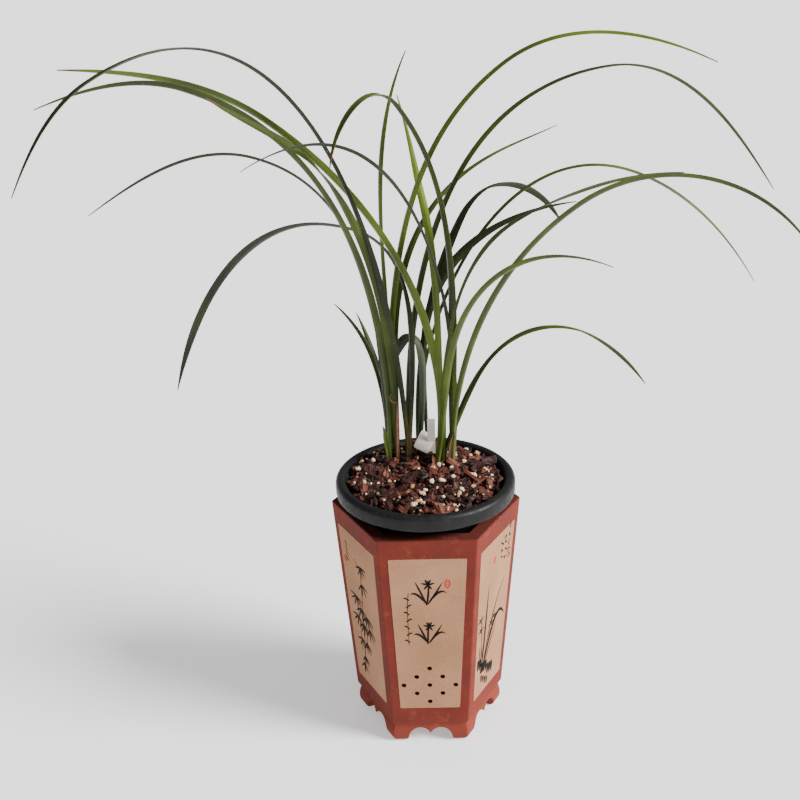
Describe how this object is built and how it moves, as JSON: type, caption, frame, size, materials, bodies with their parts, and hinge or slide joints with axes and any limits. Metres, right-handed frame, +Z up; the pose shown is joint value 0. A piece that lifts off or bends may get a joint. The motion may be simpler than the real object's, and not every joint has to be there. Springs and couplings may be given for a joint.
{
  "type": "potted orchid",
  "caption": "Leafy orchid plant with long arching strap leaves in a round black nursery pot set inside a six-sided clay display pot.",
  "frame": {"origin": "centre of the whole object's footprint, leaves included, at the feet's height", "axes": "+Z up, -Y out of the pierced front panel of the clay pot, +X to that panel's right"},
  "size_m": [0.5922, 0.4126, 0.6253],
  "materials": {
    "red_clay": "unglazed fired red clay with sand-coloured slip panels",
    "black_plastic": "satin moulded plastic",
    "bark_mix": "loose bark chips and pumice",
    "white_label": "smooth white sheet",
    "bulb": "waxy green skin",
    "dry_sheath": "papery, dry",
    "leaf": "satin, leathery green leaf with a fold along the midrib"
  },
  "bodies": {
    "root": {"bract_right": "dry_sheath", "brown_sheath_middle": "dry_sheath", "bulb_back": "bulb", "bulb_left": "bulb", "bulb_middle": "bulb", "bulb_right": "bulb", "clay_pot": "red_clay", "dry_bract_left": "dry_sheath", "leaf_back_1": "leaf", "leaf_back_2": "leaf", "leaf_back_3": "leaf", "leaf_back_4": "leaf", "leaf_left_1": "leaf", "leaf_left_2": "leaf", "leaf_left_3": "leaf", "leaf_left_4": "leaf", "leaf_left_5": "leaf", "leaf_left_6": "leaf", "leaf_left_7": "leaf", "leaf_left_8": "leaf", "leaf_middle_1": "leaf", "leaf_middle_2": "leaf", "leaf_middle_3": "leaf", "leaf_right_1": "leaf", "leaf_right_2": "leaf", "leaf_right_3": "leaf", "leaf_right_4": "leaf", "leaf_right_5": "leaf", "leaf_right_6": "leaf", "leaf_right_7": "leaf", "leaf_right_8": "leaf", "new_shoot_left": "leaf", "nursery_pot": "black_plastic", "plant_label": "white_label", "potting_mix": "bark_mix", "sheath_right": "dry_sheath"}
  },
  "joints": []
}
